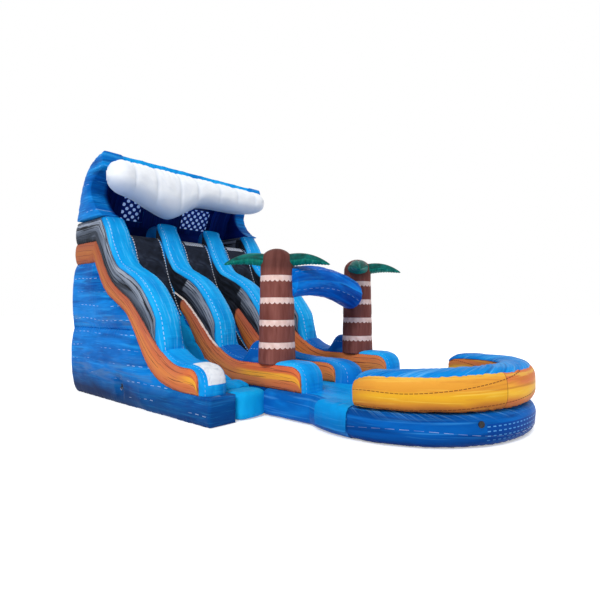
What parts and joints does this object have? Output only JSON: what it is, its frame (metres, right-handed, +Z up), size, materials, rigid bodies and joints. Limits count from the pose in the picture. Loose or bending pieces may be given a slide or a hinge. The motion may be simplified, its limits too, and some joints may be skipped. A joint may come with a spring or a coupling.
{
  "type": "inflatable water slide",
  "caption": "Inflatable water slide with a climb lane beside two sliding lanes, a wave hood over the deck, palm trees joined by an arch, and a round splash pool.",
  "frame": {"origin": "on the ground, under the middle of the whole object's bounding box, blower included", "axes": "+Z up, +Y from the splash pool towards the tower and its blower, +X from the climb lane towards the slide lanes"},
  "size_m": [4.3198, 9.16, 4.6203],
  "materials": {
    "black_liner": "gloss",
    "black_plastic": "satin",
    "black_webbing": "matte",
    "blower_plastic": "satin",
    "bright_blue_vinyl": "gloss",
    "brown_vinyl": "gloss",
    "green_vinyl": "gloss",
    "grey_rock_vinyl": "gloss",
    "light_blue_vinyl": "gloss",
    "marbled_blue_vinyl": "gloss",
    "navy_vinyl": "gloss",
    "orange_vinyl": "gloss",
    "white_vinyl": "gloss",
    "yellow_vinyl": "gloss",
    "zinc_steel": "satin"
  },
  "bodies": {
    "slide": {"anchor_tab": "black_webbing", "back_wall": "marbled_blue_vinyl", "blower_housing": "blower_plastic", "blower_inlet_guard": "black_plastic", "blower_motor": "zinc_steel", "climb_bed": "light_blue_vinyl", "climb_divider_end_cap": "marbled_blue_vinyl", "climb_divider_grey_band": "grey_rock_vinyl", "climb_divider_lower_wall": "marbled_blue_vinyl", "climb_divider_orange_band": "orange_vinyl", "climb_divider_rail": "bright_blue_vinyl", "climb_liner": "black_liner", "entry_pad": "light_blue_vinyl", "far_exit_sheet": "light_blue_vinyl", "far_palm_frond_1": "green_vinyl", "far_palm_frond_2": "green_vinyl", "far_palm_frond_3": "green_vinyl", "far_palm_trunk": "brown_vinyl", "hood_shell": "marbled_blue_vinyl", "inflation_sleeve": "marbled_blue_vinyl", "lane_divider_end_cap": "marbled_blue_vinyl", "lane_divider_grey_band": "grey_rock_vinyl", "lane_divider_lower_wall": "marbled_blue_vinyl", "lane_divider_orange_band": "orange_vinyl", "lane_divider_rail": "bright_blue_vinyl", "left_end_cap": "marbled_blue_vinyl", "left_grey_band": "grey_rock_vinyl", "left_hood_side": "marbled_blue_vinyl", "left_lower_wall": "marbled_blue_vinyl", "left_orange_band": "orange_vinyl", "left_rail": "bright_blue_vinyl", "left_slide_bed": "light_blue_vinyl", "left_slide_liner": "black_liner", "left_window": "navy_vinyl", "near_exit_sheet": "light_blue_vinyl", "near_palm_frond_1": "green_vinyl", "near_palm_frond_2": "green_vinyl", "near_palm_frond_3": "green_vinyl", "near_palm_trunk": "brown_vinyl", "palm_arch": "marbled_blue_vinyl", "platform_deck": "black_liner", "pool_band": "yellow_vinyl", "pool_floor": "light_blue_vinyl", "pool_rim": "marbled_blue_vinyl", "pool_skirt": "marbled_blue_vinyl", "right_end_cap": "marbled_blue_vinyl", "right_grey_band": "grey_rock_vinyl", "right_hood_side": "marbled_blue_vinyl", "right_lower_wall": "marbled_blue_vinyl", "right_orange_band": "orange_vinyl", "right_rail": "bright_blue_vinyl", "right_slide_bed": "light_blue_vinyl", "right_slide_liner": "black_liner", "right_window": "navy_vinyl", "runout_bed": "light_blue_vinyl", "wave_crest": "white_vinyl"},
    "anchor_ring": {"anchor_ring": "zinc_steel"},
    "drain_plug": {"drain_plug": "black_plastic"},
    "impeller": {"blower_impeller": "black_plastic"},
    "blower_switch": {"blower_switch": "black_plastic"}
  },
  "joints": [
    {"name": "anchor_ring_swing", "type": "hinge", "parent": "slide", "child": "anchor_ring", "pos_m": [-2.16782, 1.38, 0.3], "axis": [0, 1, 0], "range_deg": [-8, 100]},
    {"name": "drain_plug_pull", "type": "slide", "parent": "slide", "child": "drain_plug", "axis": [-0.5556, -0.8315, 0], "range_m": [0, 0.045]},
    {"name": "blower_impeller_spin", "type": "hinge", "parent": "slide", "child": "impeller", "pos_m": [0.48, 4.33, 0.3], "axis": [1, 0, 0], "continuous": true},
    {"name": "blower_switch_rock", "type": "hinge", "parent": "slide", "child": "blower_switch", "pos_m": [0.7463, 4.33, 0.345], "axis": [0, 1, 0], "range_deg": [-10, 10]}
  ]
}
